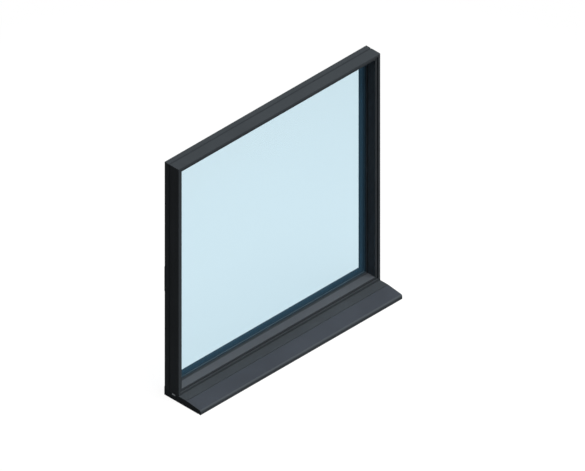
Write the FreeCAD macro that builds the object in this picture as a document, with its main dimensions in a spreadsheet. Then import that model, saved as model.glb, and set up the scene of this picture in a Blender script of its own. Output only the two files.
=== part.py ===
import FreeCAD, Part
import Sketcher
import math
import os

# Aluminium casement window: a thermally broken outer frame, an outward opening sash
# that holds a slim double glazed unit, and a projecting sill that the frame stands on.
#
# Row frame: origin at the middle of the sill's underside, +X to the right seen from
# outside, +Y into the room, +Z up. Every size is in millimetres.
#
# Each straight member is drawn once, in member coordinates: "across" runs from the
# frame's outer edge towards the glass, "deep" runs from the outside face towards the
# room, and the length runs along the member.

SIZES = [
    # Overall sizes
    ("overall_width", 1000.0),
    ("overall_height", 1000.0),
    ("sill_depth", 180.0),
    ("frame_depth", 70.0),
    # Outer frame
    ("nose_width", 10.0),
    ("frame_wall", 1.8),
    ("thermal_break_depth", 6.0),
    ("thermal_break_from_room", 21.0),
    ("thermal_break_recess", 1.0),
    ("stop_width", 3.5),
    ("stop_thickness", 8.5),
    ("frame_edge_radius", 0.8),
    # Sash
    ("sash_setback", 4.5),
    ("sash_gap", 1.5),
    ("sash_stop_gap", 1.5),
    ("sash_wall", 2.0),
    ("sash_leg_thickness", 8.5),
    ("sash_leg_reach", 24.0),
    ("sash_heel_thickness", 6.0),
    ("sash_leg_skin", 1.8),
    ("sash_front_radius", 0.5),
    ("sash_room_radius", 1.5),
    # Glazing bead and the lighter trim in its reveal
    ("bead_width", 6.5),
    ("bead_skin", 1.5),
    ("trim_thickness", 2.0),
    ("trim_depth", 33.0),
    ("bead_lip", 2.0),
    ("bead_edge_radius", 0.6),
    # Glass unit and its gaskets
    ("pane_thickness", 4.0),
    ("cavity", 6.0),
    ("outer_gasket_thickness", 1.5),
    ("inner_gasket_thickness", 0.5),
    ("gasket_sight", 4.0),
    ("gasket_tail", 5.0),
    ("glass_edge_clearance", 1.0),
    ("spacer_inset", 0.5),
    ("gasket_lip_radius", 1.0),
    # Sill
    ("sill_height", 27.0),
    ("sill_wall", 2.0),
    ("sill_fall", 7.0),
    ("sill_flat_reach", 38.0),
    ("upstand_height", 35.0),
    ("upstand_thickness", 1.2),
    ("end_cap_thickness", 2.0),
    ("sill_nose_radius", 8.0),
    ("sill_toe_radius", 1.0),
    ("nose_chamber_drop", 4.5),
    ("crease_groove_width", 1.6),
    ("crease_groove_depth", 1.6),
    ("drip_groove_width", 4.0),
    ("drip_groove_depth", 2.0),
    ("drip_from_nose", 8.0),
    # Coupling bar between the sill's end caps
    ("bar_width", 16.0),
    ("bar_thickness", 6.0),
    ("bar_from_back", 38.0),
    # Casement handle on the room side
    ("handle_rise", 470.0),
    ("handle_base_width", 18.0),
    ("handle_base_length", 110.0),
    ("handle_base_thickness", 7.0),
    ("handle_end_flat", 0.4),
    ("handle_from_sash_edge", 13.0),
    ("lever_width", 10.0),
    ("lever_length", 104.0),
    ("lever_thickness", 7.0),
    ("lever_lift", 11.0),
    ("spindle_diameter", 9.0),
    ("spindle_rise", 27.5),
    ("collar_diameter", 14.0),
    ("collar_thickness", 3.0),
    ("handle_edge_radius", 1.6),
    ("lever_bend_radius", 5.0),
    ("lever_tip_radius", 3.0),
]

# Sizes that follow from the ones above
DERIVED = [
    ("frame_height", "overall_height - sill_height"),
    ("frame_front", "sill_depth / 2 - upstand_thickness - frame_depth"),
    ("frame_middle", "sill_height + frame_height / 2"),
    ("break_front", "frame_depth - thermal_break_from_room - thermal_break_depth"),
    ("break_back", "frame_depth - thermal_break_from_room"),
    ("stop_front", "frame_depth - stop_thickness"),
    ("sash_outer", "nose_width + sash_gap"),
    ("heel_outer", "nose_width + stop_width + sash_stop_gap"),
    ("leg_front", "frame_depth - sash_leg_thickness"),
    ("shoulder_back", "stop_front - sash_stop_gap"),
    ("shoulder_front", "shoulder_back - sash_heel_thickness"),
    ("sight_line", "heel_outer + sash_leg_reach"),
    ("heel_inner", "heel_outer + sash_wall"),
    ("bead_outer", "sash_outer + sash_wall"),
    ("bead_inner", "bead_outer + bead_width"),
    ("glass_edge", "heel_inner + glass_edge_clearance"),
    ("glass_line", "bead_inner + gasket_sight"),
    ("inner_pane_back", "leg_front - inner_gasket_thickness"),
    ("inner_pane_front", "inner_pane_back - pane_thickness"),
    ("outer_pane_back", "inner_pane_front - cavity"),
    ("outer_pane_front", "outer_pane_back - pane_thickness"),
    ("bead_back", "outer_pane_front - outer_gasket_thickness"),
    ("mitre_reach", "sight_line + nose_width"),
    ("bar_back", "sill_depth / 2 - bar_from_back"),
    ("sill_crease", "frame_front - sill_flat_reach"),
]

doc = FreeCAD.newDocument("casement_window")
sheet = doc.addObject("Spreadsheet::Sheet", "Sizes")


def fill_sheet():
    """Write every size and derived size into the sheet, each under its own alias."""
    row = 1
    for name, value in SIZES:
        sheet.set(f"A{row}", name)
        sheet.set(f"B{row}", str(value))
        sheet.setAlias(f"B{row}", name)
        row += 1
    doc.recompute()
    for name, formula in DERIVED:
        sheet.set(f"A{row}", name)
        sheet.set(f"B{row}", "=" + formula)
        sheet.setAlias(f"B{row}", name)
        row += 1
        doc.recompute()


fill_sheet()

NAMES = {name for name, _ in SIZES + DERIVED}

# Points closer than this, in millimetres, are the same point
TOUCH = 0.001


def bound(formula):
    """Return the formula with each size name pointing at the sheet."""
    out = []
    word = ""
    for letter in formula + " ":
        if letter.isalnum() or letter == "_":
            word += letter
            continue
        out.append(f"Sizes.{word}" if word in NAMES else word)
        out.append(letter)
        word = ""
    return "".join(out).strip()


def number(formula):
    """Return the present value of a formula of sizes."""
    return float(sheet.evalExpression(bound(formula)))


def plane_of(body, role):
    """Return the body's own origin plane that has this role."""
    for feature in body.Origin.OriginFeatures:
        if feature.Role == role:
            return feature
    raise ValueError(role)


def new_body(label):
    """Add an empty body whose label is the name of its file and node."""
    body = doc.addObject("PartDesign::Body", label)
    body.Label = label
    return body


def new_sketch(body, name, role):
    """Add a sketch on one of the body's own origin planes."""
    sketch = body.newObject("Sketcher::SketchObject", f"{body.Label}_{name}")
    sketch.AttachmentSupport = [(plane_of(body, role), "")]
    sketch.MapMode = "FlatFace"
    return sketch


def add_loop(sketch, corners):
    """Draw one closed outline of straight lines, each corner bound to two formulas."""
    first = sketch.GeometryCount
    places = [FreeCAD.Vector(number(across), number(up), 0) for across, up in corners]
    lines = []
    for index, place in enumerate(places):
        lines.append(Part.LineSegment(place, places[(index + 1) % len(places)]))
    sketch.addGeometry(lines, False)
    joins = []
    for index in range(len(corners)):
        follower = first + (index + 1) % len(corners)
        joins.append(Sketcher.Constraint("Coincident", first + index, 2, follower, 1))
    sketch.addConstraint(joins)
    for index, (across, up) in enumerate(corners):
        line = first + index
        for kind, formula, value in (("DistanceX", across, places[index].x),
                                     ("DistanceY", up, places[index].y)):
            slot = sketch.addConstraint(Sketcher.Constraint(kind, -1, 1, line, 1, value))
            sketch.setExpression(f"Constraints[{slot}]", bound(formula))


def pad(body, sketch, name, length, midplane=False):
    """Pad a sketch of the body to a length given as a formula."""
    feature = body.newObject("PartDesign::Pad", f"{body.Label}_{name}")
    feature.Profile = sketch
    feature.Midplane = midplane
    feature.Length = number(length)
    feature.setExpression("Length", bound(length))
    return feature


def long_edges(feature, corners):
    """Name the edges that run along X through these corners of a YZ section."""
    wanted = [(number(deep), number(across)) for deep, across in corners]
    names = []
    for index, edge in enumerate(feature.Shape.Edges, start=1):
        ends = [vertex.Point for vertex in edge.Vertexes]
        if len(ends) != 2 or abs(ends[0].x - ends[1].x) < TOUCH:
            continue
        for deep, across in wanted:
            if all(math.hypot(end.y - deep, end.z - across) < TOUCH for end in ends):
                names.append(f"Edge{index}")
    return names


def round_edges(body, base, name, radius, edges):
    """Round named edges of the body's feature with a radius given as a formula."""
    if not edges:
        raise ValueError(f"{body.Label} {name}: no edge to round")
    feature = body.newObject("PartDesign::Fillet", f"{body.Label}_{name}")
    feature.Base = (base, edges)
    feature.Radius = number(radius)
    feature.setExpression("Radius", bound(radius))
    doc.recompute()
    return feature


def cut_through(body, sketch, name):
    """Pocket a sketch through the whole body, both ways, and make sure that it cuts."""
    doc.recompute()
    before = body.Shape.Volume
    feature = body.newObject("PartDesign::Pocket", f"{body.Label}_{name}")
    feature.Profile = sketch
    feature.Type = "ThroughAll"
    feature.Midplane = True
    doc.recompute()
    if body.Shape.Volume >= before:
        raise ValueError(f"{feature.Name} cuts nothing")
    return feature


# Where the four members of a ring stand: the side's name, the member's length, its
# place in the window and its turn about the axis that runs into the room
SIDES = (
    ("bottom", "overall_width", "0", "sill_height", 0),
    ("left", "frame_height", "-overall_width / 2", "frame_middle", 90),
    ("head", "overall_width", "0", "overall_height", 180),
    ("right", "frame_height", "overall_width / 2", "frame_middle", 270),
)


def seat(body, along, height, turn):
    """Place a body drawn in member coordinates at its side of the window."""
    body.Placement.Rotation = FreeCAD.Rotation(FreeCAD.Vector(0, 1, 0), turn)
    body.setExpression("Placement.Base.x", bound(along))
    body.setExpression("Placement.Base.y", bound("frame_front"))
    body.setExpression("Placement.Base.z", bound(height))


def member(piece, side, outline, chambers=(), rounds=()):
    """Make one mitred member of a ring from its section of (across, deep) corners.

    Each entry of rounds is a radius and the corners of the section that get it.
    """
    name, length, along, height, turn = side
    body = new_body(f"{piece}_{name}")
    section = new_sketch(body, "section", "YZ_Plane")
    for loop in (outline, *chambers):
        add_loop(section, [(deep, across) for across, deep in loop])
    shape = pad(body, section, "bar", length, midplane=True)
    doc.recompute()
    for count, (radius, corners) in enumerate(rounds, start=1):
        edges = long_edges(shape, [(deep, across) for across, deep in corners])
        shape = round_edges(body, shape, f"round_{count}", radius, edges)
    mitres = new_sketch(body, "mitres", "XZ_Plane")
    half = f"{length} / 2"
    reach = "mitre_reach"
    add_loop(mitres, [(half, "0"), (half, reach), (f"{half} - {reach}", reach)])
    add_loop(mitres, [(f"-{half}", "0"), (f"{reach} - {half}", reach), (f"-{half}", reach)])
    cut_through(body, mitres, "mitre_cuts")
    seat(body, along, height, turn)
    return body


def rectangle(low_across, low_deep, high_across, high_deep):
    """Return the four corners of a rectangle in member coordinates."""
    return [
        (low_across, low_deep),
        (high_across, low_deep),
        (high_across, high_deep),
        (low_across, high_deep),
    ]


def make_frame(side):
    """Make one side of the outer frame: outside shell, thermal break and room shell."""
    member(
        "frame_outer", side,
        rectangle("0", "0", "nose_width", "break_front"),
        [rectangle("frame_wall", "frame_wall", "nose_width - frame_wall",
                   "break_front - frame_wall")],
        [("frame_edge_radius", [("0", "0"), ("nose_width", "0")])],
    )
    member(
        "thermal_break", side,
        rectangle("thermal_break_recess", "break_front",
                  "nose_width - thermal_break_recess", "break_back"),
    )
    stop_edge = "nose_width + stop_width"
    member(
        "frame_inner", side,
        [
            ("0", "break_back"),
            ("nose_width", "break_back"),
            ("nose_width", "stop_front"),
            (stop_edge, "stop_front"),
            (stop_edge, "frame_depth"),
            ("0", "frame_depth"),
        ],
        [rectangle("frame_wall", "break_back + frame_wall",
                   "nose_width - frame_wall", "frame_depth - frame_wall")],
        [("frame_edge_radius", [("0", "frame_depth"), (stop_edge, "frame_depth")])],
    )


def make_sash(side):
    """Make one side of the sash: a thin outer wall, a heel and the leg behind the glass."""
    member(
        "sash", side,
        [
            ("sash_outer", "sash_setback"),
            ("bead_outer", "sash_setback"),
            ("bead_outer", "shoulder_front"),
            ("heel_inner", "shoulder_front"),
            ("heel_inner", "leg_front"),
            ("sight_line", "leg_front"),
            ("sight_line", "frame_depth"),
            ("heel_outer", "frame_depth"),
            ("heel_outer", "shoulder_back"),
            ("sash_outer", "shoulder_back"),
        ],
        [rectangle("heel_inner", "leg_front + sash_leg_skin",
                   "sight_line - sash_leg_skin", "frame_depth - sash_leg_skin")],
        [
            ("sash_front_radius", [("sash_outer", "sash_setback"),
                                   ("sight_line", "leg_front")]),
            ("sash_room_radius", [("sight_line", "frame_depth"),
                                  ("heel_outer", "frame_depth")]),
        ],
    )


def make_bead(side):
    """Make one side of the glazing bead and the lighter trim seated in its reveal."""
    trim_bed = "bead_inner - trim_thickness"
    trim_front = "sash_setback + bead_lip"
    trim_back = "sash_setback + bead_lip + trim_depth"
    member(
        "glazing_bead", side,
        [
            ("bead_outer", "sash_setback"),
            ("bead_inner", "sash_setback"),
            ("bead_inner", trim_front),
            (trim_bed, trim_front),
            (trim_bed, trim_back),
            ("bead_inner", trim_back),
            ("bead_inner", "bead_back"),
            ("bead_outer", "bead_back"),
        ],
        [rectangle("bead_outer + bead_skin", "sash_setback + bead_skin",
                   f"{trim_bed} - bead_skin", "bead_back - bead_skin")],
        [("bead_edge_radius", [("bead_inner", "sash_setback")])],
    )
    member("reveal_trim", side, rectangle(trim_bed, trim_front, "bead_inner", trim_back))


def ring(label, low_across, high_across, low_deep, high_deep):
    """Make a closed rectangular ring that follows the four sides of the window."""
    body = new_body(label)
    face = new_sketch(body, "face", "XZ_Plane")
    for across in (low_across, high_across):
        half_width = f"(overall_width / 2 - ({across}))"
        half_height = f"(frame_height / 2 - ({across}))"
        add_loop(face, [
            (f"-{half_width}", f"-{half_height}"),
            (half_width, f"-{half_height}"),
            (half_width, half_height),
            (f"-{half_width}", half_height),
        ])
    pad(body, face, "band", f"{high_deep} - ({low_deep})")
    body.setExpression("Placement.Base.y", bound(f"frame_front + {high_deep}"))
    body.setExpression("Placement.Base.z", bound("frame_middle"))
    return body


def pane(label, front):
    """Make one glass pane of the sealed unit, its front face at a depth."""
    body = new_body(label)
    face = new_sketch(body, "face", "XZ_Plane")
    half_width = "(overall_width / 2 - glass_edge)"
    half_height = "(frame_height / 2 - glass_edge)"
    add_loop(face, [
        (f"-{half_width}", f"-{half_height}"),
        (half_width, f"-{half_height}"),
        (half_width, half_height),
        (f"-{half_width}", half_height),
    ])
    pad(body, face, "sheet", "pane_thickness")
    body.setExpression("Placement.Base.y", bound(f"frame_front + {front} + pane_thickness"))
    body.setExpression("Placement.Base.z", bound("frame_middle"))
    return body


def round_gasket_lip(body):
    """Round the outer gasket's edge that shows round the glass."""
    band = body.Tip
    half_width = number("overall_width / 2 - glass_line")
    half_height = number("frame_height / 2 - glass_line")
    front = min(vertex.Point.y for vertex in band.Shape.Vertexes)
    edges = []
    for index, edge in enumerate(band.Shape.Edges, start=1):
        middle = edge.CenterOfMass
        on_jamb = abs(abs(middle.x) - half_width) < TOUCH
        on_rail = abs(abs(middle.z) - half_height) < TOUCH
        if abs(middle.y - front) < TOUCH and (on_jamb or on_rail):
            edges.append(f"Edge{index}")
    round_edges(body, band, "lip", "gasket_lip_radius", edges)


def make_glazing():
    """Make the double glazed unit, its spacer, both gaskets and the sash's seal."""
    pane("outer_pane", "outer_pane_front")
    pane("inner_pane", "inner_pane_front")
    ring("glass_spacer", "glass_edge + spacer_inset", "glass_line",
         "outer_pane_back", "inner_pane_front")
    gasket = ring("outer_gasket", "glass_line - gasket_sight - gasket_tail", "glass_line",
                  "bead_back", "outer_pane_front")
    doc.recompute()
    round_gasket_lip(gasket)
    ring("inner_gasket", "glass_edge", "glass_line", "inner_pane_back", "leg_front")
    ring("sash_seal", "sash_outer", "nose_width + stop_width", "shoulder_back", "stop_front")


def sill_top_at(place):
    """Return, as a formula, the height of the sill's sloped top at a place in its depth."""
    return f"(sill_height - (sill_crease - ({place})) * tan(sill_fall * 1 deg))"


def sill_outline():
    """Return the sill's outline: drip groove, upstand, flat bed, crease, apron and nose."""
    drip_front = "-sill_depth / 2 + drip_from_nose"
    drip_back = f"{drip_front} + drip_groove_width"
    crease_front = "sill_crease - crease_groove_width"
    return [
        ("-sill_depth / 2", "0"),
        (drip_front, "0"),
        (drip_front, "drip_groove_depth"),
        (drip_back, "drip_groove_depth"),
        (drip_back, "0"),
        ("sill_depth / 2", "0"),
        ("sill_depth / 2", "upstand_height"),
        ("sill_depth / 2 - upstand_thickness", "upstand_height"),
        ("sill_depth / 2 - upstand_thickness", "sill_height"),
        ("sill_crease", "sill_height"),
        ("sill_crease", "sill_height - crease_groove_depth"),
        (crease_front, "sill_height - crease_groove_depth"),
        (crease_front, sill_top_at(crease_front)),
        ("-sill_depth / 2", sill_top_at("-sill_depth / 2")),
    ]


def round_sill(body, shape):
    """Round the nose's top edge and its toe, the same on the sill and its end caps."""
    nose_edge = long_edges(shape, [("-sill_depth / 2", sill_top_at("-sill_depth / 2"))])
    shape = round_edges(body, shape, "nose", "sill_nose_radius", nose_edge)
    toe = long_edges(shape, [("-sill_depth / 2", "0")])
    return round_edges(body, shape, "toe", "sill_toe_radius", toe)


def bar_outline():
    """Return the coupling bar's section, its top against the underside of the bed."""
    top = "sill_height - sill_wall"
    return [
        ("bar_back - bar_width", f"{top} - bar_thickness"),
        ("bar_back", f"{top} - bar_thickness"),
        ("bar_back", top),
        ("bar_back - bar_width", top),
    ]


def make_sill():
    """Make the sill as one extrusion with three chambers and closed undersides."""
    body = new_body("sill")
    section = new_sketch(body, "section", "YZ_Plane")
    add_loop(section, sill_outline())
    under_bed = "sill_height - sill_wall"
    floor = "drip_groove_depth + sill_wall"
    front = "-sill_depth / 2 + sill_wall"
    front_back = "sill_crease - sill_wall"
    add_loop(section, [
        (front, floor),
        (front_back, floor),
        (front_back, f"{sill_top_at(front_back)} - sill_wall"),
        (front, f"{sill_top_at(front)} - sill_wall - nose_chamber_drop"),
    ])
    add_loop(section, [
        ("sill_crease", "sill_wall"),
        ("frame_front", "sill_wall"),
        ("frame_front", under_bed),
        ("sill_crease", under_bed),
    ])
    add_loop(section, [
        ("frame_front + sill_wall", "sill_wall"),
        ("sill_depth / 2 - sill_wall", "sill_wall"),
        ("sill_depth / 2 - sill_wall", under_bed),
        ("frame_front + sill_wall", under_bed),
    ])
    shape = pad(body, section, "extrusion", "overall_width - 2 * end_cap_thickness",
                midplane=True)
    doc.recompute()
    round_sill(body, shape)


def make_end_cap(side, along):
    """Make one end cap: the sill's outline as a plate, with the coupling bar's slot."""
    body = new_body(f"sill_end_cap_{side}")
    outline = new_sketch(body, "outline", "YZ_Plane")
    add_loop(outline, sill_outline())
    add_loop(outline, bar_outline())
    shape = pad(body, outline, "plate", "end_cap_thickness")
    doc.recompute()
    round_sill(body, shape)
    body.setExpression("Placement.Base.x", bound(along))


def make_coupling_bar():
    """Make the flat bar under the sill's bed that the end caps and the frame fix to."""
    body = new_body("sill_coupling_bar")
    section = new_sketch(body, "section", "YZ_Plane")
    add_loop(section, bar_outline())
    pad(body, section, "bar", "overall_width", midplane=True)


def add_circle(sketch, across, up, diameter):
    """Draw a circle with its centre and diameter bound to formulas."""
    centre = FreeCAD.Vector(number(across), number(up), 0)
    circle = Part.Circle(centre, FreeCAD.Vector(0, 0, 1), number(diameter) / 2)
    ring_index = sketch.addGeometry(circle, False)
    for kind, formula, value in (("DistanceX", across, centre.x), ("DistanceY", up, centre.y)):
        slot = sketch.addConstraint(Sketcher.Constraint(kind, -1, 1, ring_index, 3, value))
        sketch.setExpression(f"Constraints[{slot}]", bound(formula))
    slot = sketch.addConstraint(Sketcher.Constraint("Diameter", ring_index, number(diameter)))
    sketch.setExpression(f"Constraints[{slot}]", bound(diameter))


def edges_where(feature, test):
    """Name the edges of a feature whose shape passes the test."""
    return [f"Edge{index}" for index, edge in enumerate(feature.Shape.Edges, start=1)
            if test(edge)]


def make_handle_base(centre, height):
    """Make the handle's base: a plate with round ends, a soft rim and a spindle collar."""
    body = new_body("handle_base")
    plate = new_sketch(body, "plate", "XZ_Plane")
    half = "handle_base_width / 2"
    end = "handle_base_length / 2"
    add_loop(plate, [(f"-{half}", f"-{end}"), (half, f"-{end}"), (half, end), (f"-{half}", end)])
    shape = pad(body, plate, "block", "handle_base_thickness")
    doc.recompute()
    corners = edges_where(shape, lambda edge: abs(edge.CenterOfMass.y
                                                  + number("handle_base_thickness") / 2) < TOUCH)
    shape = round_edges(body, shape, "ends", f"{half} - handle_end_flat / 2", corners)
    rim = edges_where(shape, lambda edge: abs(edge.BoundBox.YMax) < TOUCH)
    round_edges(body, shape, "rim", "handle_edge_radius", rim)
    collar = new_sketch(body, "collar", "XZ_Plane")
    add_circle(collar, "0", "spindle_rise", "collar_diameter")
    raised = pad(body, collar, "collar_boss", "collar_thickness")
    raised.Reversed = True
    body.setExpression("Placement.Base.x", bound(centre))
    body.setExpression("Placement.Base.y",
                       bound("frame_front + frame_depth + handle_base_thickness"))
    body.setExpression("Placement.Base.z", bound(height))


def make_handle_lever(centre, height):
    """Make the lever: a neck on the spindle collar, a bend and an arm that hangs down."""
    body = new_body("handle_lever")
    side_view = new_sketch(body, "side_view", "YZ_Plane")
    arm_front = "handle_base_thickness + lever_lift"
    arm_back = f"{arm_front} + lever_thickness"
    seat_face = "handle_base_thickness + collar_thickness"
    neck = "spindle_diameter / 2"
    add_loop(side_view, [
        (seat_face, neck),
        (seat_face, f"-{neck}"),
        (arm_front, f"-{neck}"),
        (arm_front, "-lever_length"),
        (arm_back, "-lever_length"),
        (arm_back, neck),
    ])
    shape = pad(body, side_view, "arm", "lever_width", midplane=True)
    doc.recompute()
    bend = long_edges(shape, [(arm_back, neck)])
    shape = round_edges(body, shape, "bend", "lever_bend_radius", bend)
    tip = long_edges(shape, [(arm_back, "-lever_length"), (arm_front, "-lever_length")])
    shape = round_edges(body, shape, "tip", "lever_tip_radius", tip)
    back = number(arm_back)
    grip = edges_where(shape, lambda edge: abs(edge.BoundBox.YMax - back) < TOUCH
                       and abs(edge.BoundBox.YMin - back) < TOUCH
                       and abs(abs(edge.CenterOfMass.x) - number("lever_width") / 2) < TOUCH)
    round_edges(body, shape, "grip", "handle_edge_radius", grip)
    body.setExpression("Placement.Base.x", bound(centre))
    body.setExpression("Placement.Base.y", bound("frame_front + frame_depth"))
    body.setExpression("Placement.Base.z", bound(f"{height} + spindle_rise"))


def make_handle():
    """Make the casement handle: a base screwed to the sash and a lever on a spindle."""
    centre = "heel_outer + handle_from_sash_edge - overall_width / 2"
    height = "sill_height + handle_rise"
    make_handle_base(centre, height)
    make_handle_lever(centre, height)


def check_document():
    """Stop if any object failed or any sub-part has no valid solid."""
    for item in doc.Objects:
        if "Invalid" in item.State or "Error" in item.State:
            raise ValueError(f"{item.Name} failed: {item.State}")
    for body in bodies():
        if body.Shape.isNull() or not body.Shape.isValid():
            raise ValueError(f"{body.Label} has no valid shape")


def bodies():
    """Return every sub-part of the document."""
    return [item for item in doc.Objects if item.TypeId == "PartDesign::Body"]


for window_side in SIDES:
    make_frame(window_side)
    make_sash(window_side)
    make_bead(window_side)
make_glazing()
make_sill()
make_end_cap("left", "-overall_width / 2")
make_end_cap("right", "overall_width / 2 - end_cap_thickness")
make_coupling_bar()
make_handle()
doc.recompute()
check_document()

os.makedirs("parts", exist_ok=True)
for piece_body in bodies():
    piece_body.Shape.exportStep(f"parts/{piece_body.Label}.step")
    box = piece_body.Shape.BoundBox
    print(piece_body.Label, len(piece_body.Shape.Solids), round(piece_body.Shape.Volume),
          [round(v, 2) for v in (box.XMin, box.XMax, box.YMin, box.YMax, box.ZMin, box.ZMax)])
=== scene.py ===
"""Looks of an aluminium casement window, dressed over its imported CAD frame.

The window stands on its sill. Every length is in metres in the frame's own axes:
+X to the right seen from outside, +Y into the room, +Z up. Sizes of finishes and
small pieces are given in millimetres, as on a maker's drawing.
"""

from __future__ import annotations

import logging
import math
from dataclasses import dataclass, field
from enum import Enum

import bmesh
import bpy
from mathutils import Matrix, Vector

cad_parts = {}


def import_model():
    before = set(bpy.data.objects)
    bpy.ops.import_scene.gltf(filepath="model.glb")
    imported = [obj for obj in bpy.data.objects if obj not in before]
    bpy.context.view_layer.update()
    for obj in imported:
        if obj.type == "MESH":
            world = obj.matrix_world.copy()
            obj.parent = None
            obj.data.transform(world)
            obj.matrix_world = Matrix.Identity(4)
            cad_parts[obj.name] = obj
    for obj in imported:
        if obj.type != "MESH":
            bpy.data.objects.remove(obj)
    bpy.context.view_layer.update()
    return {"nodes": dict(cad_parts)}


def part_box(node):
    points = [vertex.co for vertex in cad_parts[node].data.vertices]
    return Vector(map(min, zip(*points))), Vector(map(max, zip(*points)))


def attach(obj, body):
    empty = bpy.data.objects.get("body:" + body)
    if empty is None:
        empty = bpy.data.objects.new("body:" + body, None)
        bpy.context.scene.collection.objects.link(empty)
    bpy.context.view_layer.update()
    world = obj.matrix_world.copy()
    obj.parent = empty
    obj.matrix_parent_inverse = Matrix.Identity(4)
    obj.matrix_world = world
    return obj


LOG = logging.getLogger("casement_window")

MM = 0.001
IMAGE_WIDTH = 585
IMAGE_HEIGHT = 471

# Blender's wave texture turns through this many radians in one unit of its own space.
WAVE_TURN = 20.0

Colour = tuple[float, float, float, float]
WHITE: Colour = (1.0, 1.0, 1.0, 1.0)

# The studio is white all round. With the usual specular level of 0.5 it would lay a pale
# veil over matt dark surfaces, so they take this one.
MATT_SPECULAR = 0.02


class Side(Enum):
    """The four sides of a ring of members, by the name their nodes end with."""

    BOTTOM = "bottom"
    LEFT = "left"
    HEAD = "head"
    RIGHT = "right"


class Patches(Enum):
    """How clearly a noise pattern's patches stand out: the part of its values in use."""

    SOFT = (0.3, 0.7)
    CLEAR = (0.35, 0.65)
    SPARSE = (0.45, 0.75)
    BROKEN = (0.4, 0.62)


def linear(hex_colour: str) -> Colour:
    """Turn an sRGB hex colour into linear values by the sRGB standard's curve.

    Args:
        hex_colour: Six hex digits, such as "383E42".

    Returns:
        Red, green and blue as the shader's sockets take them, and full alpha.
    """
    parts = [int(hex_colour[i:i + 2], 16) / 255 for i in (0, 2, 4)]
    shares = [p / 12.92 if p <= 0.04045 else ((p + 0.055) / 1.055) ** 2.4 for p in parts]
    return shares[0], shares[1], shares[2], 1.0


def scaled(colour: Colour, share: float) -> Colour:
    """Return a linear colour made lighter or darker by a share, with full alpha."""
    return colour[0] * share, colour[1] * share, colour[2] * share, 1.0


def per_metre(size_mm: float) -> float:
    """Return how many pattern steps of a real size fit in one metre."""
    return 1.0 / (size_mm * MM)


def add_node(
    tree: bpy.types.NodeTree,
    kind: str,
    inputs: dict[str | int, object] | None = None,
    settings: dict[str, object] | None = None,
    out: str | int = 0,
) -> bpy.types.NodeSocket | None:
    """Add one node with its socket values, links and settings.

    Args:
        tree: The node tree that gets the node.
        kind: Blender's name for the node type.
        inputs: Input sockets by name, or by number where they share one. A node output
            there is linked, and anything else is set as the socket's value.
        settings: Properties of the node itself, by name, which are set first.
        out: The output to hand back, by name or number.

    Returns:
        The node's output socket, or None for a node that ends the tree.
    """
    node = tree.nodes.new(kind)
    for name, value in (settings or {}).items():
        setattr(node, name, value)
    for name, value in (inputs or {}).items():
        if isinstance(value, bpy.types.NodeSocket):
            tree.links.new(value, node.inputs[name])
        else:
            node.inputs[name].default_value = value
    return node.outputs[out] if len(node.outputs) else None


@dataclass(frozen=True)
class EdgeWear:
    """The edges that hands, cloths and grit rub first, in a line broken up by grit.

    An edge is taken as rounded over the reach. Its wear starts and is full where the
    cosine between the rounded and the flat surface has fallen to start_turn and full_turn.
    """

    reach_mm: float = 0.6
    start_turn: float = 0.99
    full_turn: float = 0.8
    grit_mm: float = 9.0
    least: float = 0.15
    samples: int = 4

    def mask(self, tree: bpy.types.NodeTree) -> bpy.types.NodeSocket:
        """Find the worn edges.

        Args:
            tree: The node tree.

        Returns:
            A number that is 0 on flats and rises towards 1 along edges.
        """
        soft = add_node(tree, "ShaderNodeBevel", {"Radius": self.reach_mm * MM},
                        {"samples": self.samples})
        flat = add_node(tree, "ShaderNodeNewGeometry", out="Normal")
        agree = add_node(tree, "ShaderNodeVectorMath", {0: soft, 1: flat},
                         {"operation": "DOT_PRODUCT"}, "Value")
        edge = add_node(tree, "ShaderNodeMapRange",
                        {"Value": agree, "From Min": self.start_turn, "From Max": self.full_turn})
        point = add_node(tree, "ShaderNodeTexCoord", out="Object")
        grit = add_node(tree, "ShaderNodeTexNoise",
                        {"Vector": point, "Scale": per_metre(self.grit_mm), "Detail": 4.0})
        low, high = Patches.BROKEN.value
        broken = add_node(tree, "ShaderNodeMapRange", {
            "Value": grit,
            "From Min": low,
            "From Max": high,
            "To Min": self.least,
            "To Max": 1.0,
        })
        return add_node(tree, "ShaderNodeMath", {0: edge, 1: broken},
                        {"operation": "MULTIPLY"})


@dataclass(frozen=True)
class Finish:
    """A finish of the window, named for its substance and how its surface was made.

    A finish with a gloss_spread varies its roughness by that much down and up.
    """

    name: str

    def material(self) -> bpy.types.Material:
        """Build the finish's node material.

        Returns:
            The finished material.
        """
        material = bpy.data.materials.new(self.name)
        material.use_nodes = True
        tree = material.node_tree
        tree.nodes.clear()
        point = add_node(tree, "ShaderNodeTexCoord", out="Object")
        add_node(tree, "ShaderNodeOutputMaterial", {"Surface": self.surface(tree, point)})
        return material

    def surface(self, tree: bpy.types.NodeTree,
                point: bpy.types.NodeSocket) -> bpy.types.NodeSocket:
        """Build the nodes of the surface; each finish has its own.

        Args:
            tree: The material's node tree.
            point: The surface point in the frame's metres.

        Returns:
            The shader's output.
        """
        raise NotImplementedError(self.name)


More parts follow.
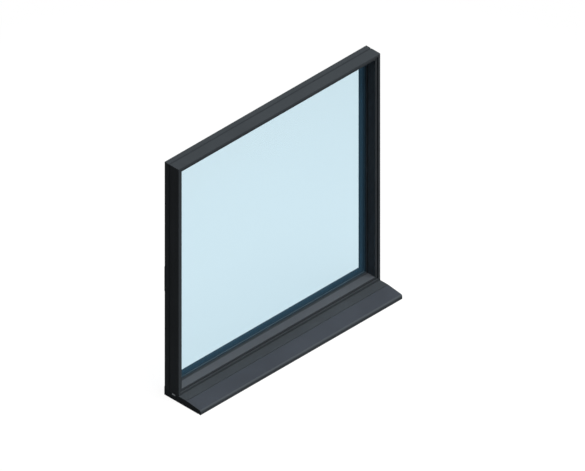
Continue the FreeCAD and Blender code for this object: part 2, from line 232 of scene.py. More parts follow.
@dataclass(frozen=True)
class PowderCoat(Finish):
    """Polyester powder coat, sprayed dry and baked on extruded aluminium.

    The powder melts into a satin skin, so the eye gets an even dark grey with a faint
    orange peel, drawn a little coarser than the real one's 1 mm so that it shows. It is
    thin along edges, where rubbing leaves it paler and smoother, and dried rain shows as
    uneven gloss that runs down.
    """

    colour: str
    roughness: float = 0.5
    gloss_spread: tuple[float, float] = (-0.05, 0.07)
    peel_mm: float = 1.6
    peel_depth_mm: float = 0.025
    peel_strength: float = 0.6
    cloud_mm: float = 180.0
    colour_shift: float = 0.06
    streak_mm: float = 26.0
    streak_squeeze: float = 0.12
    wear: EdgeWear = EdgeWear()
    wear_lift: float = 1.15
    wear_polish: float = 0.12

    def tone(self, tree: bpy.types.NodeTree, point: bpy.types.NodeSocket,
             colour: bpy.types.NodeSocket) -> bpy.types.NodeSocket:
        """Change the coat's colour by place; a plain coat stays as it is.

        Args:
            tree: The material's node tree.
            point: The surface point in the frame's metres.
            colour: The coat's colour so far.

        Returns:
            The colour's socket.
        """
        return colour

    def surface(self, tree: bpy.types.NodeTree,
                point: bpy.types.NodeSocket) -> bpy.types.NodeSocket:
        """Build the coat's nodes.

        Args:
            tree: The material's node tree.
            point: The surface point in the frame's metres.

        Returns:
            The shader's output.
        """
        base = linear(self.colour)
        cloud = add_node(tree, "ShaderNodeTexNoise",
                         {"Vector": point, "Scale": per_metre(self.cloud_mm), "Detail": 3.0})
        low, high = Patches.CLEAR.value
        share = add_node(tree, "ShaderNodeMapRange",
                         {"Value": cloud, "From Min": low, "From Max": high})
        colour = add_node(tree, "ShaderNodeMix", {
            "Factor": share,
            "A": scaled(base, 1.0 - self.colour_shift),
            "B": scaled(base, 1.0 + self.colour_shift),
        }, {"data_type": "RGBA"}, "Result")
        colour = self.tone(tree, point, colour)
        wear = self.wear.mask(tree)
        colour = add_node(tree, "ShaderNodeMix", {
            "Factor": wear,
            "A": colour,
            "B": scaled(base, self.wear_lift),
        }, {"data_type": "RGBA"}, "Result")
        # Rain marks are long and run down, so their pattern is stretched along Z.
        long_point = add_node(tree, "ShaderNodeVectorMath",
                              {0: point, 1: (1.0, 1.0, self.streak_squeeze)},
                              {"operation": "MULTIPLY"})
        streaks = add_node(tree, "ShaderNodeTexNoise",
                           {"Vector": long_point, "Scale": per_metre(self.streak_mm),
                            "Detail": 2.0})
        low, high = Patches.SOFT.value
        gloss = add_node(tree, "ShaderNodeMapRange", {
            "Value": streaks,
            "From Min": low,
            "From Max": high,
            "To Min": self.roughness + self.gloss_spread[0],
            "To Max": self.roughness + self.gloss_spread[1],
        })
        rub_and_painted_highlight = add_node(tree, "ShaderNodeMath", {0: wear, 1: -self.wear_polish, 2: gloss},
                          {"operation": "MULTIPLY_ADD"})
        peel = add_node(tree, "ShaderNodeTexNoise",
                        {"Vector": point, "Scale": per_metre(self.peel_mm), "Detail": 1.0})
        bump = add_node(tree, "ShaderNodeBump", {
            "Height": peel,
            "Strength": self.peel_strength,
            "Distance": self.peel_depth_mm * MM,
        })
        return add_node(tree, "ShaderNodeBsdfPrincipled", {
            "Base Color": colour,
            "Roughness": rub_and_painted_highlight,
            "Specular IOR Level": MATT_SPECULAR,
            "Normal": bump,
        })


@dataclass(frozen=True, kw_only=True)
class MitredCoat(PowderCoat):
    """The same powder coat on members that are sawn at 45 degrees and crimped together.

    The coat is baked before the saw cut, so each corner shows a dark hairline. A real
    seam is about 0.15 mm wide; it is drawn wider so that it shows at all. The seams run
    inwards from the corners of a ring, given by its middle and half its sides in metres.
    """

    middle: tuple[float, float, float]
    half_width: float
    half_height: float
    seam_mm: float = 0.5
    seam_shade: float = 0.45

    def tone(self, tree: bpy.types.NodeTree, point: bpy.types.NodeSocket,
             colour: bpy.types.NodeSocket) -> bpy.types.NodeSocket:
        """Darken the coat along the four mitre seams.

        Args:
            tree: The material's node tree.
            point: The surface point in the frame's metres.
            colour: The coat's colour so far.

        Returns:
            The colour's socket.
        """
        # All four quarters are folded onto one. On its seam, a point is as far inside the
        # ring's side as it is inside the head.
        centred = add_node(tree, "ShaderNodeVectorMath", {0: point, 1: self.middle},
                           {"operation": "SUBTRACT"})
        folded = add_node(tree, "ShaderNodeVectorMath", {0: centred}, {"operation": "ABSOLUTE"})
        slant = add_node(tree, "ShaderNodeVectorMath", {0: folded, 1: (-1.0, 0.0, 1.0)},
                         {"operation": "DOT_PRODUCT"}, "Value")
        offset = add_node(tree, "ShaderNodeMath",
                          {0: slant, 1: self.half_width - self.half_height},
                          {"operation": "ADD"})
        away = add_node(tree, "ShaderNodeMath", {0: offset}, {"operation": "ABSOLUTE"})
        seam = add_node(tree, "ShaderNodeMapRange", {
            "Value": away,
            "From Min": 0.0,
            "From Max": self.seam_mm * MM,
            "To Min": 1.0,
            "To Max": 0.0,
        })
        return add_node(tree, "ShaderNodeMix", {
            "Factor": seam,
            "A": colour,
            "B": scaled(linear(self.colour), self.seam_shade),
        }, {"data_type": "RGBA"}, "Result")


@dataclass(frozen=True, kw_only=True)
class SillCoat(PowderCoat):
    """The same powder coat on the sill, with light painted into its colour.

    A painted sheen makes the sloped apron in front of the crease a little lighter and
    bluer, standing in for the sky's reflection there, and a painted highlight makes the
    rounded nose paler. The painted sheen is given as how much more red, green and blue
    it throws back than the coat alone. The crease and the nose's front are given by their
    place in the frame's depth in metres. The painted highlight starts and is full at two
    distances behind that front. Sheen and highlight both start at one height over the
    floor and are full at the next, so the coat stays plain under the nose.
    """

    crease: float
    front: float
    # Painted sheen: how much lighter and bluer the apron is made, standing in for the sky's
    # reflection on the slope.
    painted_sheen: Colour = (1.03, 1.02, 1.1, 1.0)
    painted_sheen_edge_mm: float = 3.0
    start_height_mm: float = 12.5
    full_height_mm: float = 14.5
    # Painted highlight along the nose's rounded top edge: where it starts, where it is full and
    # how much paler it is.
    highlight_start_mm: float = 5.5
    highlight_full_mm: float = 3.5
    highlight_lift: float = 1.4

    def tone(self, tree: bpy.types.NodeTree, point: bpy.types.NodeSocket,
             colour: bpy.types.NodeSocket) -> bpy.types.NodeSocket:
        """Paint a lighter, bluer sheen on the apron and a highlight on the nose.

        Args:
            tree: The material's node tree.
            point: The surface point in the frame's metres.
            colour: The coat's colour so far.

        Returns:
            The colour's socket.
        """
        depth = add_node(tree, "ShaderNodeSeparateXYZ", {"Vector": point}, out="Y")
        height = add_node(tree, "ShaderNodeSeparateXYZ", {"Vector": point}, out="Z")
        above_nose_foot = add_node(tree, "ShaderNodeMapRange", {
            "Value": height,
            "From Min": self.start_height_mm * MM,
            "From Max": self.full_height_mm * MM,
        })
        on_apron = add_node(tree, "ShaderNodeMapRange", {
            "Value": depth,
            "From Min": self.crease,
            "From Max": self.crease - self.painted_sheen_edge_mm * MM,
        })
        # Painted sheen: the sloped apron is made lighter and bluer, standing in for the sky's
        # reflection.
        painted_sheen_share = add_node(tree, "ShaderNodeMath", {0: on_apron, 1: above_nose_foot},
                       {"operation": "MULTIPLY"})
        with_painted_sheen = add_node(tree, "ShaderNodeMix", {"Factor": painted_sheen_share, "A": colour, "B": self.painted_sheen},
                          {"data_type": "RGBA", "blend_type": "MULTIPLY"}, "Result")
        # Painted highlight: a paler band along the nose's rounded top edge stands in for the
        # lamp's highlight there.
        nose_highlight_band = add_node(tree, "ShaderNodeMapRange", {
            "Value": depth,
            "From Min": self.front + self.highlight_start_mm * MM,
            "From Max": self.front + self.highlight_full_mm * MM,
        })
        rub_and_painted_highlight = add_node(tree, "ShaderNodeMath", {0: nose_highlight_band, 1: above_nose_foot},
                          {"operation": "MULTIPLY"})
        return add_node(tree, "ShaderNodeMix", {
            "Factor": rub_and_painted_highlight,
            "A": with_painted_sheen,
            "B": scaled(linear(self.colour), self.highlight_lift),
        }, {"data_type": "RGBA"}, "Result")


@dataclass(frozen=True)
class ExtrudedRubber(Finish):
    """Grey EPDM rubber, pressed through a die and cured.

    It is matt, with fine lines along its length from the die, drawn coarser than the
    real ones so that they show, and a paler bloom where wax has come to the surface.
    """

    colour: str = "42494F"
    bloom: str = "4E555B"
    bloom_mm: float = 35.0
    bloom_share: float = 0.6
    roughness: float = 0.72
    gloss_spread: tuple[float, float] = (-0.06, 0.1)
    die_line_mm: float = 1.6
    die_line_waver: float = 0.3
    die_line_depth_mm: float = 0.05
    die_line_strength: float = 0.3

    def surface(self, tree: bpy.types.NodeTree,
                point: bpy.types.NodeSocket) -> bpy.types.NodeSocket:
        """Build the rubber's nodes.

        Args:
            tree: The material's node tree.
            point: The surface point in the frame's metres.

        Returns:
            The shader's output.
        """
        bloom = add_node(tree, "ShaderNodeTexNoise",
                         {"Vector": point, "Scale": per_metre(self.bloom_mm), "Detail": 4.0})
        low, high = Patches.SPARSE.value
        share = add_node(tree, "ShaderNodeMapRange", {
            "Value": bloom,
            "From Min": low,
            "From Max": high,
            "To Min": 0.0,
            "To Max": self.bloom_share,
        })
        colour = add_node(tree, "ShaderNodeMix", {
            "Factor": share,
            "A": linear(self.colour),
            "B": linear(self.bloom),
        }, {"data_type": "RGBA"}, "Result")
        lines = add_node(tree, "ShaderNodeTexWave", {
            "Vector": point,
            "Scale": 2 * math.pi * per_metre(self.die_line_mm) / WAVE_TURN,
            "Distortion": self.die_line_waver,
        }, {"bands_direction": "Y"}, "Fac")
        bump = add_node(tree, "ShaderNodeBump", {
            "Height": lines,
            "Strength": self.die_line_strength,
            "Distance": self.die_line_depth_mm * MM,
        })
        low, high = Patches.SOFT.value
        gloss = add_node(tree, "ShaderNodeMapRange", {
            "Value": bloom,
            "From Min": low,
            "From Max": high,
            "To Min": self.roughness + self.gloss_spread[0],
            "To Max": self.roughness + self.gloss_spread[1],
        })
        return add_node(tree, "ShaderNodeBsdfPrincipled", {
            "Base Color": colour,
            "Roughness": gloss,
            "Specular IOR Level": MATT_SPECULAR,
            "Normal": bump,
        })


@dataclass(frozen=True)
class MouldedPlastic(Finish):
    """Glass filled plastic, moulded or extruded.

    The filler gives the surface a fine grain, drawn coarser than the real one so that
    it shows, and an even, dull sheen, and its edges scuff a little paler.
    """

    colour: str
    colour_shift: float = 0.08
    cloud_mm: float = 60.0
    roughness: float = 0.6
    gloss_spread: tuple[float, float] = (-0.05, 0.08)
    grain_mm: float = 0.9
    grain_depth_mm: float = 0.03
    grain_strength: float = 0.35
    wear: EdgeWear = EdgeWear()
    wear_lift: float = 1.2

    def surface(self, tree: bpy.types.NodeTree,
                point: bpy.types.NodeSocket) -> bpy.types.NodeSocket:
        """Build the plastic's nodes.

        Args:
            tree: The material's node tree.
            point: The surface point in the frame's metres.

        Returns:
            The shader's output.
        """
        base = linear(self.colour)
        cloud = add_node(tree, "ShaderNodeTexNoise",
                         {"Vector": point, "Scale": per_metre(self.cloud_mm), "Detail": 3.0})
        low, high = Patches.SOFT.value
        share = add_node(tree, "ShaderNodeMapRange",
                         {"Value": cloud, "From Min": low, "From Max": high})
        colour = add_node(tree, "ShaderNodeMix", {
            "Factor": share,
            "A": scaled(base, 1.0 - self.colour_shift),
            "B": scaled(base, 1.0 + self.colour_shift),
        }, {"data_type": "RGBA"}, "Result")
        worn = add_node(tree, "ShaderNodeMix", {
            "Factor": self.wear.mask(tree),
            "A": colour,
            "B": scaled(base, self.wear_lift),
        }, {"data_type": "RGBA"}, "Result")
        grain = add_node(tree, "ShaderNodeTexVoronoi",
                         {"Vector": point, "Scale": per_metre(self.grain_mm)},
                         {"feature": "F1"}, "Distance")
        bump = add_node(tree, "ShaderNodeBump", {
            "Height": grain,
            "Strength": self.grain_strength,
            "Distance": self.grain_depth_mm * MM,
        })
        gloss = add_node(tree, "ShaderNodeMapRange", {
            "Value": cloud,
            "From Min": low,
            "From Max": high,
            "To Min": self.roughness + self.gloss_spread[0],
            "To Max": self.roughness + self.gloss_spread[1],
        })
        return add_node(tree, "ShaderNodeBsdfPrincipled", {
            "Base Color": worn,
            "Roughness": gloss,
            "Specular IOR Level": MATT_SPECULAR,
            "Normal": bump,
        })


@dataclass(frozen=True)
class MillAluminium(Finish):
    """Aluminium as it leaves the extrusion press, sawn off and left to the weather.

    Its skin and its sawn end have gone a dull mid grey, a little cloudy, with fine die
    lines that run along it and spread what gloss is left across them. The lines are
    drawn coarser than the real ones so that they show.
    """

    colour: str = "5E6164"
    line_shade: float = 0.9
    roughness: float = 0.55
    gloss_spread: tuple[float, float] = (-0.08, 0.1)
    die_line_mm: float = 0.7
    die_line_squeeze: float = 0.01
    die_line_depth_mm: float = 0.02
    die_line_strength: float = 0.4

    def surface(self, tree: bpy.types.NodeTree,
                point: bpy.types.NodeSocket) -> bpy.types.NodeSocket:
        """Build the metal's nodes.

        Args:
            tree: The material's node tree.
            point: The surface point in the frame's metres.

        Returns:
            The shader's output.
        """
        base = linear(self.colour)
        long_point = add_node(tree, "ShaderNodeVectorMath",
                              {0: point, 1: (self.die_line_squeeze, 1.0, 1.0)},
                              {"operation": "MULTIPLY"})
        lines = add_node(tree, "ShaderNodeTexNoise",
                         {"Vector": long_point, "Scale": per_metre(self.die_line_mm),
                          "Detail": 2.0})
        low, high = Patches.CLEAR.value
        share = add_node(tree, "ShaderNodeMapRange",
                         {"Value": lines, "From Min": low, "From Max": high})
        colour = add_node(tree, "ShaderNodeMix", {
            "Factor": share,
            "A": scaled(base, self.line_shade),
            "B": base,
        }, {"data_type": "RGBA"}, "Result")
        bump = add_node(tree, "ShaderNodeBump", {
            "Height": lines,
            "Strength": self.die_line_strength,
            "Distance": self.die_line_depth_mm * MM,
        })
        gloss = add_node(tree, "ShaderNodeMapRange", {
            "Value": lines,
            "From Min": low,
            "From Max": high,
            "To Min": self.roughness + self.gloss_spread[0],
            "To Max": self.roughness + self.gloss_spread[1],
        })
        return add_node(tree, "ShaderNodeBsdfPrincipled", {
            "Base Color": colour,
            "Metallic": 1.0,
            "Roughness": gloss,
            "Normal": bump,
        })


@dataclass(frozen=True)
class FloatGlass(Finish):
    """Clear float glass with a soft heat-saving coating.

    It takes a little red out of what is behind it, lays a faint blue veil over dark
    things and mirrors more at a slant, where a thin film of dust dulls it in patches.
    """

    tint: str = "F6FCFE"
    veil: str = "76ACD0"
    veil_share: float = 0.05
    mirror: str = "BEE4F6"
    slant_blend: float = 0.12
    slant_gloss: float = 0.05
    dust_mm: float = 90.0
    clean_roughness: float = 0.01
    dusty_roughness: float = 0.05

    def surface(self, tree: bpy.types.NodeTree,
                point: bpy.types.NodeSocket) -> bpy.types.NodeSocket:
        """Build the glass's nodes.

        Args:
            tree: The material's node tree.
            point: The surface point in the frame's metres.

        Returns:
            The shader's output.
        """
        clear = add_node(tree, "ShaderNodeBsdfTransparent", {"Color": linear(self.tint)})
        veil = add_node(tree, "ShaderNodeBsdfDiffuse",
                        {"Color": linear(self.veil), "Roughness": 0.0})
        veiled = add_node(tree, "ShaderNodeMixShader", {"Fac": self.veil_share, 1: clear, 2: veil})
        dust = add_node(tree, "ShaderNodeTexNoise",
                        {"Vector": point, "Scale": per_metre(self.dust_mm), "Detail": 4.0})
        low, high = Patches.SOFT.value
        gloss = add_node(tree, "ShaderNodeMapRange", {
            "Value": dust,
            "From Min": low,
            "From Max": high,
            "To Min": self.clean_roughness,
            "To Max": self.dusty_roughness,
        })
        sheen = add_node(tree, "ShaderNodeBsdfGlossy",
                         {"Color": linear(self.mirror), "Roughness": gloss})
        slant = add_node(tree, "ShaderNodeLayerWeight", {"Blend": self.slant_blend},
                         out="Fresnel")
        share = add_node(tree, "ShaderNodeMath", {0: slant, 1: self.slant_gloss},
                         {"operation": "MULTIPLY"})
        return add_node(tree, "ShaderNodeMixShader", {"Fac": share, 1: veiled, 2: sheen})


@dataclass
class Finishes:
    """The finishes that don't depend on a size, and every material made so far."""

    trim_coat: PowderCoat = PowderCoat("pale_grey_powder_coat", "5A5F64", roughness=0.46)
    handle_coat: PowderCoat = PowderCoat("handle_powder_coat", "3A3F43", roughness=0.4,
                                         peel_mm=1.0)
    polyamide: MouldedPlastic = MouldedPlastic("extruded_polyamide", "3A3F43")
    gasket: ExtrudedRubber = ExtrudedRubber("epdm_rubber")
    spacer: MouldedPlastic = MouldedPlastic("warm_edge_spacer", "52585C", roughness=0.5)
    end_cap: MouldedPlastic = MouldedPlastic("moulded_end_cap", "3C4145", grain_mm=0.7)
    bar_metal: MillAluminium = MillAluminium("mill_finish_aluminium")
    glass: FloatGlass = FloatGlass("coated_float_glass")
    made: dict[str, bpy.types.Material] = field(default_factory=dict)

    def of(self, finish: Finish) -> bpy.types.Material:
        """Return the material of a finish, building it the first time.

        Args:
            finish: A finish, known by its name.

        Returns:
            Its material.
        """
        if finish.name not in self.made:
            self.made[finish.name] = finish.material()
        return self.made[finish.name]


@dataclass
class Assembly:
    """A sub-assembly of the window that dresses CAD nodes and may add pieces."""

    nodes: dict[str, bpy.types.Object]
    finishes: Finishes

    def dress(self, names: list[str], finish: Finish) -> None:
        """Give CAD nodes one finish.

        Args:
            names: The nodes' names.
            finish: One of the finishes.
        """
        material = self.finishes.of(finish)
        for name in names:
            mesh = self.nodes[name].data
            mesh.materials.clear()
            mesh.materials.append(material)
            LOG.info("dressed %s in %s", name, material.name)

    def add_piece(self, name: str, shape: bmesh.types.BMesh, finish: Finish,
                  slot: str) -> None:
        """Turn a finished shape into a piece that belongs to the window.

        Args:
            name: The new piece's name.
            shape: Its mesh in the frame's metres, which is freed here.
            finish: One of the finishes.
            slot: The material slot meant for the piece; not used.
        """
        mesh = bpy.data.meshes.new(name)
        shape.to_mesh(mesh)
        shape.free()
        mesh.materials.append(self.finishes.of(finish))
        piece = bpy.data.objects.new(name, mesh)
        bpy.context.scene.collection.objects.link(piece)
        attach(piece, "root")
        LOG.info("added %s in %s", name, finish.name)


class MitredRings(Assembly):
    """Rings of four members that are all sawn on the window's same four diagonals."""

    def coat(self) -> MitredCoat:
        """Work out the coat whose hairlines run inwards from the outer frame's corners.

        Returns:
            The coat of every mitred member.
        """
        low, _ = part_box("frame_outer_bottom")
        _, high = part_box("frame_outer_head")
        middle = ((low.x + high.x) / 2, 0.0, (low.z + high.z) / 2)
        return MitredCoat("anthracite_powder_coat", "42474B", middle=middle,
                          half_width=(high.x - low.x) / 2, half_height=(high.z - low.z) / 2)

    def dress_ring(self, layers: list[str], finish: Finish) -> None:
        """Give every side of some rings one finish.

        Args:
            layers: The names that the rings' nodes start with.
            finish: The finish of all their members.
        """
        self.dress([f"{layer}_{side.value}" for layer in layers for side in Side], finish)


class OuterFrame(MitredRings):
    """The fixed frame: outside shells, thermal break and room shells."""

    def build(self) -> None:
        """Dress the frame's members."""
        self.dress_ring(["frame_outer", "frame_inner"], self.coat())
        self.dress_ring(["thermal_break"], self.finishes.polyamide)


class Sash(MitredRings):
    """The leaf: its members, the glazing beads and the paler trim in the reveal."""

    def build(self) -> None:
        """Dress the sash, beads, trims and the seal round the leaf."""
        self.dress_ring(["sash", "glazing_bead"], self.coat())
        self.dress_ring(["reveal_trim"], self.finishes.trim_coat)
        self.dress(["sash_seal"], self.finishes.gasket)


class GlassUnit(Assembly):
    """The sealed double glazed unit and the gaskets that hold it."""

    def build(self) -> None:
        """Dress the panes, the spacer and the gaskets."""
        self.dress(["outer_pane", "inner_pane"], self.finishes.glass)
        self.dress(["glass_spacer"], self.finishes.spacer)
        self.dress(["outer_gasket", "inner_gasket"], self.finishes.gasket)


@dataclass
class Sill(Assembly):
    """The projecting sill with its end caps and coupling bar.

    Its flat bed reaches in front of the frame as far as the crease.
    """

    bed_reach_mm: float = 38.0

    def coat(self) -> SillCoat:
        """Work out the coat, with its painted sheen and painted nose highlight where this sill has
        them.

        Returns:
            The coat of the sill.
        """
        frame_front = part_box("frame_outer_bottom")[0].y
        # The sill's material carries a painted sheen on its apron and a painted highlight on its
        # nose.
        return SillCoat("sill_coat_painted_sheen_and_highlight", "44494D", front=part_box("sill")[0].y,
                        crease=frame_front - self.bed_reach_mm * MM)

    def build(self) -> None:
        """Dress the sill, its end caps and the bar."""
        self.dress(["sill"], self.coat())
        self.dress(["sill_end_cap_left", "sill_end_cap_right"], self.finishes.end_cap)
        self.dress(["sill_coupling_bar"], self.finishes.bar_metal)


@dataclass
class Handle(Assembly):
    """The casement handle on the room side, held by two countersunk screws.

    The screws stand at equal distances over and under the spindle, which is some way over
    the middle of the base.
    """

    plate_mm: float = 7.0
    spindle_rise_mm: float = 27.5
    screw_spacing_mm: float = 43.0
    head_mm: float = 6.6
    head_rise_mm: float = 0.5
    bevel_mm: float = 0.3
    recess_length_mm: float = 3.8
    recess_width_mm: float = 1.0
    recess_depth_mm: float = 0.4
    steps: int = 32

    def build(self) -> None:
        """Dress the handle and add the screws."""
        self.dress(["handle_base", "handle_lever"], self.finishes.handle_coat)
        low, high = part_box("handle_base")
        across = (low.x + high.x) / 2
        spindle = (low.z + high.z) / 2 + self.spindle_rise_mm * MM
        face = low.y + self.plate_mm * MM
        for name, side in (("handle_screw_upper", 1), ("handle_screw_lower", -1)):
            height = spindle + side * self.screw_spacing_mm / 2 * MM
            shape = self.screw_head(Vector((across, face, height)))
            self.add_piece(name, shape, self.finishes.handle_coat, "handle_coat")

    def screw_head(self, seat: Vector) -> bmesh.types.BMesh:
        """Make a raised countersunk head with a cross recess, facing the room.

        Args:
            seat: The middle of the head on the handle's plate.

        Returns:
            The head's mesh in the frame's metres.
        """
        shape = bmesh.new()
        rim = self.circle(shape, seat, self.head_mm / 2, 0.0)
        top = self.circle(shape, seat, self.head_mm / 2 - self.bevel_mm, self.head_rise_mm)
        mouth = self.cross(shape, seat, self.head_rise_mm)
        pit = self.cross(shape, seat, self.head_rise_mm - self.recess_depth_mm)
        for outer, inner in ((rim, top), (mouth, pit)):
            for index, corner in enumerate(outer):
                follower = (index + 1) % len(outer)
                shape.faces.new((corner, outer[follower], inner[follower], inner[index]))
        shape.faces.new(pit)
        borders = []
        for loop in (top, mouth):
            for index, corner in enumerate(loop):
                follower = loop[(index + 1) % len(loop)]
                borders.append(shape.edges.get((corner, follower)))
        bmesh.ops.triangle_fill(shape, use_beauty=True, edges=borders)
        bmesh.ops.recalc_face_normals(shape, faces=shape.faces[:])
        return shape

    def circle(self, shape: bmesh.types.BMesh, seat: Vector, radius_mm: float,
               rise_mm: float) -> list[bmesh.types.BMVert]:
        """Add a ring of points round the screw's axis.

        Args:
            shape: The mesh that gets the points.
            seat: The middle of the head on the handle's plate.
            radius_mm: The ring's radius.
            rise_mm: How far the ring lies over the plate.

        Returns:
            The points in order.
        """
        turns = [2 * math.pi * step / self.steps for step in range(self.steps)]
        spots = [(math.cos(turn) * radius_mm, math.sin(turn) * radius_mm) for turn in turns]
        return self.points(shape, seat, spots, rise_mm)

    def cross(self, shape: bmesh.types.BMesh, seat: Vector,
              rise_mm: float) -> list[bmesh.types.BMVert]:
        """Add the twelve corners of the cross recess.

        Args:
            shape: The mesh that gets the points.
            seat: The middle of the head on the handle's plate.
            rise_mm: How far the corners lie over the plate.

        Returns:
            The points in order.
        """
        far = self.recess_length_mm / 2
        near = self.recess_width_mm / 2
        arm = [(far, -near), (far, near), (near, near)]
        spots = []
        for quarter in range(4):
            cos = round(math.cos(quarter * math.pi / 2))
            sin = round(math.sin(quarter * math.pi / 2))
            spots += [(u * cos - v * sin, u * sin + v * cos) for u, v in arm]
        return self.points(shape, seat, spots, rise_mm)

    @staticmethod
    def points(shape: bmesh.types.BMesh, seat: Vector, spots: list[tuple[float, float]],
               rise_mm: float) -> list[bmesh.types.BMVert]:
        """Add points given across and up from the seat, in millimetres, and return them."""
        return [shape.verts.new(seat + Vector((across, rise_mm, up)) * MM)
                for across, up in spots]


def direction(turn_deg: float, rise_deg: float) -> Vector:
    """Work out the way from the window towards a lamp or the camera.

    Args:
        turn_deg: How far it stands round to the right of the window's outside.
        rise_deg: How high it stands over the horizon.

    Returns:
        The way, one metre long.
    """
    turn = math.radians(turn_deg)
    rise = math.radians(rise_deg)
    return Vector((
        math.sin(turn) * math.cos(rise),
        -math.cos(turn) * math.cos(rise),
        math.sin(rise),
    ))


@dataclass(frozen=True)
class StudioFloor(Finish):
    """Matt pale floor board of a photo studio.

    Looked at, through glass or in a reflection too, it is near white with the window's
    soft shadow on it, and it goes to plain white away from the window. As a light it
    stays dim, so that it doesn't brighten the window's underside.
    """

    near_glow: float = 0.9
    shadow_share: float = 0.14
    bounce: float = 0.06
    fade_start_m: float = 0.9
    fade_end_m: float = 2.2

    def surface(self, tree: bpy.types.NodeTree,
                point: bpy.types.NodeSocket) -> bpy.types.NodeSocket:
        """Build the floor's nodes.

        Args:
            tree: The material's node tree.
            point: The surface point in the frame's metres.

        Returns:
            The shader's output.
        """
        away = add_node(tree, "ShaderNodeVectorMath", {0: point}, {"operation": "LENGTH"},
                        "Value")
        fade = {"Value": away, "From Min": self.fade_start_m, "From Max": self.fade_end_m}
        glow = add_node(tree, "ShaderNodeMapRange",
                        {**fade, "To Min": self.near_glow, "To Max": 1.0})
        lit = add_node(tree, "ShaderNodeMapRange",
                       {**fade, "To Min": self.shadow_share, "To Max": 0.0})
        bright = add_node(tree, "ShaderNodeEmission", {"Strength": glow})
        pale = add_node(tree, "ShaderNodeBsdfDiffuse", {"Color": lit})
        shown = add_node(tree, "ShaderNodeAddShader", {0: bright, 1: pale})
        dim = add_node(tree, "ShaderNodeBsdfDiffuse", {"Color": scaled(WHITE, self.bounce)})
        return add_node(tree, "ShaderNodeMixShader", {"Fac": looked_at(tree), 1: dim, 2: shown})


def looked_at(tree: bpy.types.NodeTree) -> bpy.types.NodeSocket:
    """Tell rays that look from rays that light.

    Args:
        tree: The node tree.

    Returns:
        1 for camera rays, glossy rays and rays through glass, and 0 for the rest.
    """
    seen = add_node(tree, "ShaderNodeLightPath", out="Is Camera Ray")
    for way in ("Is Glossy Ray", "Is Transmission Ray"):
        ray = add_node(tree, "ShaderNodeLightPath", out=way)
        seen = add_node(tree, "ShaderNodeMath", {0: seen, 1: ray}, {"operation": "MAXIMUM"})
    return seen


@dataclass(frozen=True)
class Lamp:
    """One square soft lamp that faces the window's middle.

    It stands at a rise over the horizon, turned round to the right of the window's
    outside. Its share is the light that it gives a surface square to it, where 1 makes
    the surface show its own colour.
    """

    name: str
    rise_deg: float
    turn_deg: float
    distance: float
    size: float
    share: float
    gloss: float = 0.4

    def add(self, aim: Vector) -> None:
        """Hang the lamp.

        Args:
            aim: The point that it faces.
        """
        back = direction(self.turn_deg, self.rise_deg)
        data = bpy.data.lights.new(self.name, "AREA")
        data.shape = "SQUARE"
        data.size = self.size
        # A flat lamp of this power, at a share of 1, shows a white surface as white.
        data.energy = self.share * (math.pi * self.distance) ** 2
        data.specular_factor = self.gloss
        lamp = bpy.data.objects.new(self.name, data)
        lamp.location = aim + back * self.distance
        lamp.rotation_mode = "QUATERNION"
        lamp.rotation_quaternion = (-back).to_track_quat("-Z", "Y")
        bpy.context.scene.collection.objects.link(lamp)


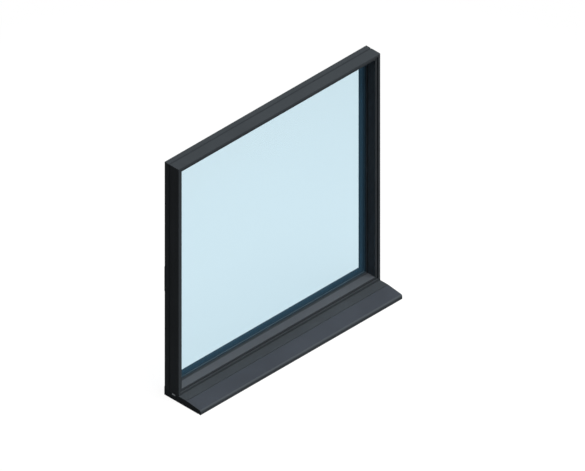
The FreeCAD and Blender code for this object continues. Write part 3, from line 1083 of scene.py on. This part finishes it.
@dataclass
class Studio:
    """Floor, soft lights and the camera at the photograph's angle.

    The overhead and the front lamp stand far off, so that head and sill get the same
    light. The one on the left is weak, because the photograph's left ends are dark. The
    camera takes the photograph's scale, and shows the frame's origin at the pixel where
    the photograph has it, counted across and down from its top left corner.
    """

    lamps: tuple[Lamp, ...] = (
        Lamp("overhead", rise_deg=80.0, turn_deg=12.0, distance=30.0, size=13.0, share=0.91),
        Lamp("front", rise_deg=8.0, turn_deg=7.0, distance=30.0, size=8.0, share=0.325),
        Lamp("right", rise_deg=6.0, turn_deg=84.0, distance=6.0, size=2.0, share=0.3),
        Lamp("left", rise_deg=6.0, turn_deg=-84.0, distance=6.0, size=2.0, share=0.015),
        Lamp("behind", rise_deg=3.0, turn_deg=172.0, distance=6.0, size=2.4, share=0.85),
    )
    lamp_aim: tuple[float, float, float] = (0.0, 0.0, 0.5)
    azimuth_deg: float = -45.0
    elevation_deg: float = math.degrees(math.atan(1 / math.sqrt(2)))
    pixels_per_metre: float = 285.2
    origin_pixel: tuple[float, float] = (283.28, 346.7)
    camera_distance: float = 12.0
    camera_reach: float = 100.0
    floor_size: float = 60.0
    sky_fill: float = 0.02

    def build(self) -> None:
        """Add the world, the floor, the lamps and the camera."""
        self.add_world()
        self.add_floor()
        for lamp in self.lamps:
            lamp.add(Vector(self.lamp_aim))
            LOG.info("hung lamp %s", lamp.name)
        self.add_camera()

    def add_world(self) -> None:
        """Make a world that is white to look at and dim as a light."""
        world = bpy.data.worlds.new("studio")
        bpy.context.scene.world = world
        world.use_nodes = True
        tree = world.node_tree
        tree.nodes.clear()
        strength = add_node(tree, "ShaderNodeMapRange",
                            {"Value": looked_at(tree), "To Min": self.sky_fill, "To Max": 1.0})
        sky = add_node(tree, "ShaderNodeBackground", {"Color": WHITE, "Strength": strength})
        add_node(tree, "ShaderNodeOutputWorld", {"Surface": sky})

    def add_floor(self) -> None:
        """Make the pale floor, which keeps the window's shadow."""
        mesh = bpy.data.meshes.new("floor")
        half = self.floor_size / 2
        corners = [(-half, -half, 0), (half, -half, 0), (half, half, 0), (-half, half, 0)]
        mesh.from_pydata(corners, [], [(0, 1, 2, 3)])
        mesh.materials.append(StudioFloor("studio_floor").material())
        floor = bpy.data.objects.new("floor", mesh)
        bpy.context.scene.collection.objects.link(floor)

    def add_camera(self) -> None:
        """Add the parallel camera that looks down on the window's outside corner."""
        back = direction(self.azimuth_deg, self.elevation_deg)
        turn = (-back).to_track_quat("-Z", "Y")
        right = turn @ Vector((1.0, 0.0, 0.0))
        up = turn @ Vector((0.0, 1.0, 0.0))
        across = (IMAGE_WIDTH / 2 - self.origin_pixel[0]) / self.pixels_per_metre
        rise = (self.origin_pixel[1] - IMAGE_HEIGHT / 2) / self.pixels_per_metre
        data = bpy.data.cameras.new("photo_view")
        data.type = "ORTHO"
        data.ortho_scale = IMAGE_WIDTH / self.pixels_per_metre
        data.clip_end = self.camera_reach
        camera = bpy.data.objects.new("photo_view", data)
        camera.rotation_mode = "QUATERNION"
        camera.rotation_quaternion = turn
        camera.location = right * across + up * rise + back * self.camera_distance
        bpy.context.scene.collection.objects.link(camera)
        bpy.context.scene.camera = camera


def main() -> None:
    """Load the frame, dress each sub-assembly, add its pieces and set the studio."""
    logging.basicConfig(level=logging.INFO, format="%(message)s")
    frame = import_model()
    finishes = Finishes()
    for kind in (OuterFrame, Sash, GlassUnit, Sill, Handle):
        kind(frame["nodes"], finishes).build()
        LOG.info("built %s", kind.__name__)
    Studio().build()
    bpy.context.scene.view_settings.view_transform = "Standard"


if __name__ == "__main__":
    main()
